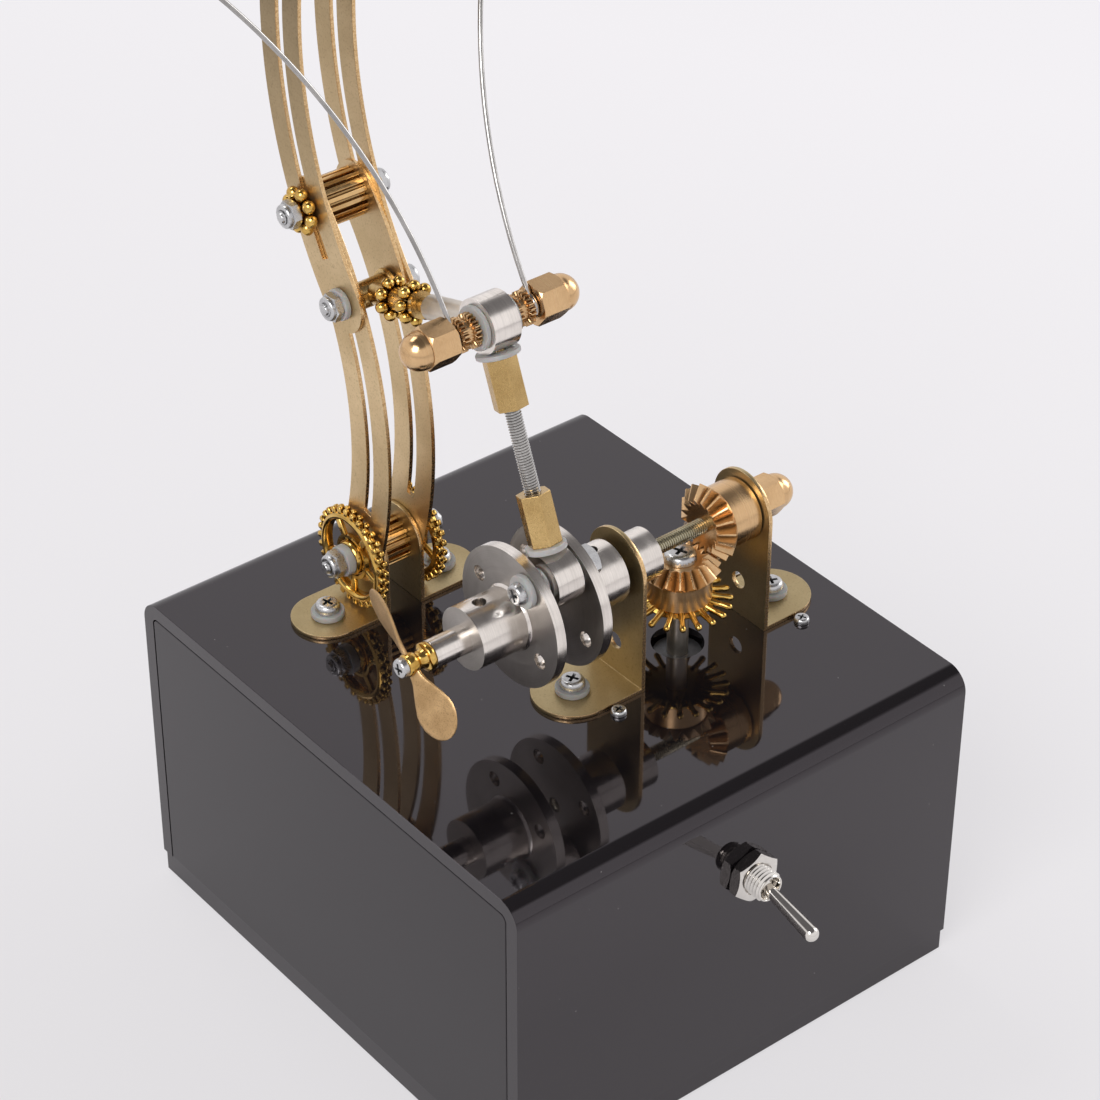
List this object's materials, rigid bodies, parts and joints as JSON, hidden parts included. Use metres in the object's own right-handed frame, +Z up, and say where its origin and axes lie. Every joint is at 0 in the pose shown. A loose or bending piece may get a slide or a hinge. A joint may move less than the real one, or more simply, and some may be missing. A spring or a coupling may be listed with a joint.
{
  "type": "motor driven kinetic sculpture drive",
  "caption": "Gloss black box with a toggle switch carrying a bevel gear driven crank with propeller, a connecting rod with yoke and push wires, and a curved brass strip mast.",
  "frame": {"origin": "centre of the underside of the bottom plate", "axes": "+Z up, -Y is the switch face, +X runs along the crank shaft from the propeller to the end nut"},
  "size_m": [0.1109, 0.1322, 0.2138],
  "materials": {
    "black_acrylic": "high gloss",
    "dark_plastic": "matte",
    "motor_steel": "satin",
    "cell_wrap": "satin",
    "zinc_steel": "bright zinc",
    "chrome_metal": "polished",
    "satin_brass": "satin",
    "warm_brass": "turned",
    "gold_brass": "polished",
    "nickel_steel": "turned nickel",
    "thread_steel": "threaded",
    "clear_nylon": "translucent"
  },
  "bodies": {
    "base": {"base_plate": "black_acrylic", "hood": "black_acrylic", "side_panel_left": "black_acrylic", "side_panel_right": "black_acrylic", "corner_blocks": "dark_plastic", "base_screws": "zinc_steel", "gear_motor": "motor_steel", "motor_screws": "zinc_steel", "battery_holder": "dark_plastic", "battery_cells": "cell_wrap", "toggle_body": "dark_plastic", "toggle_nut": "chrome_metal", "bracket_inner": "satin_brass", "bracket_outer": "satin_brass", "foot_screws": "zinc_steel", "foot_washers": "clear_nylon", "foot_nuts": "zinc_steel", "mast_bracket_left": "satin_brass", "mast_bracket_right": "satin_brass", "mast_lower_left": "satin_brass", "mast_lower_right": "satin_brass", "mast_upper_left": "satin_brass", "mast_upper_right": "satin_brass", "mast_pivot_bolt": "zinc_steel", "mast_pivot_washers": "clear_nylon", "mast_base_pinion": "warm_brass", "wheel_left": "gold_brass", "wheel_right": "gold_brass", "mast_joint_bolt": "zinc_steel", "mast_joint_pinion": "warm_brass", "mast_bead_rings": "gold_brass", "mast_lap_bolts": "zinc_steel", "mast_lap_washers": "clear_nylon"},
    "crank": {"crank_shaft": "thread_steel", "flange_left": "nickel_steel", "flange_right": "nickel_steel", "crank_pin": "zinc_steel", "crank_washers": "clear_nylon", "stub_shaft": "nickel_steel", "propeller": "warm_brass", "propeller_screw": "zinc_steel", "crank_collar": "nickel_steel", "crank_bevel_gear": "warm_brass", "crank_end_spacer": "warm_brass", "crank_dome_nut": "warm_brass"},
    "motor_gear": {"motor_shaft": "zinc_steel", "motor_bevel_gear": "warm_brass", "crown_wheel": "gold_brass", "motor_gear_screw": "zinc_steel"},
    "link": {"big_end_collar": "nickel_steel", "link_standoffs": "warm_brass", "link_rod": "thread_steel", "link_washers": "clear_nylon", "yoke_collar": "nickel_steel", "yoke_pin": "zinc_steel", "knurled_nuts": "warm_brass", "yoke_dome_nuts": "warm_brass", "guide_arm": "warm_brass", "push_wires": "zinc_steel"},
    "lever": {"toggle_lever": "chrome_metal"}
  },
  "joints": [
    {"name": "crank_spin", "type": "hinge", "parent": "base", "child": "crank", "pos_m": [-0.016, -0.0165, 0.0913], "axis": [1, 0, 0], "continuous": true},
    {"name": "motor_gear_spin", "type": "hinge", "parent": "base", "child": "motor_gear", "pos_m": [0.0173, -0.0165, 0.08], "axis": [0, 0, 1], "continuous": true},
    {"name": "link_swing", "type": "hinge", "parent": "crank", "child": "link", "pos_m": [-0.016, -0.02123, 0.09983], "axis": [1, 0, 0], "continuous": true},
    {"name": "switch_toggle", "type": "hinge", "parent": "base", "child": "lever", "pos_m": [0, -0.0606, 0.048], "axis": [-1, 0, 0], "range_deg": [0, 26]}
  ],
  "couplings": [
    {"joint": "motor_gear_spin", "follows": "crank_spin", "ratio": 1},
    {"joint": "link_swing", "follows": "crank_spin", "ratio": -1}
  ]
}
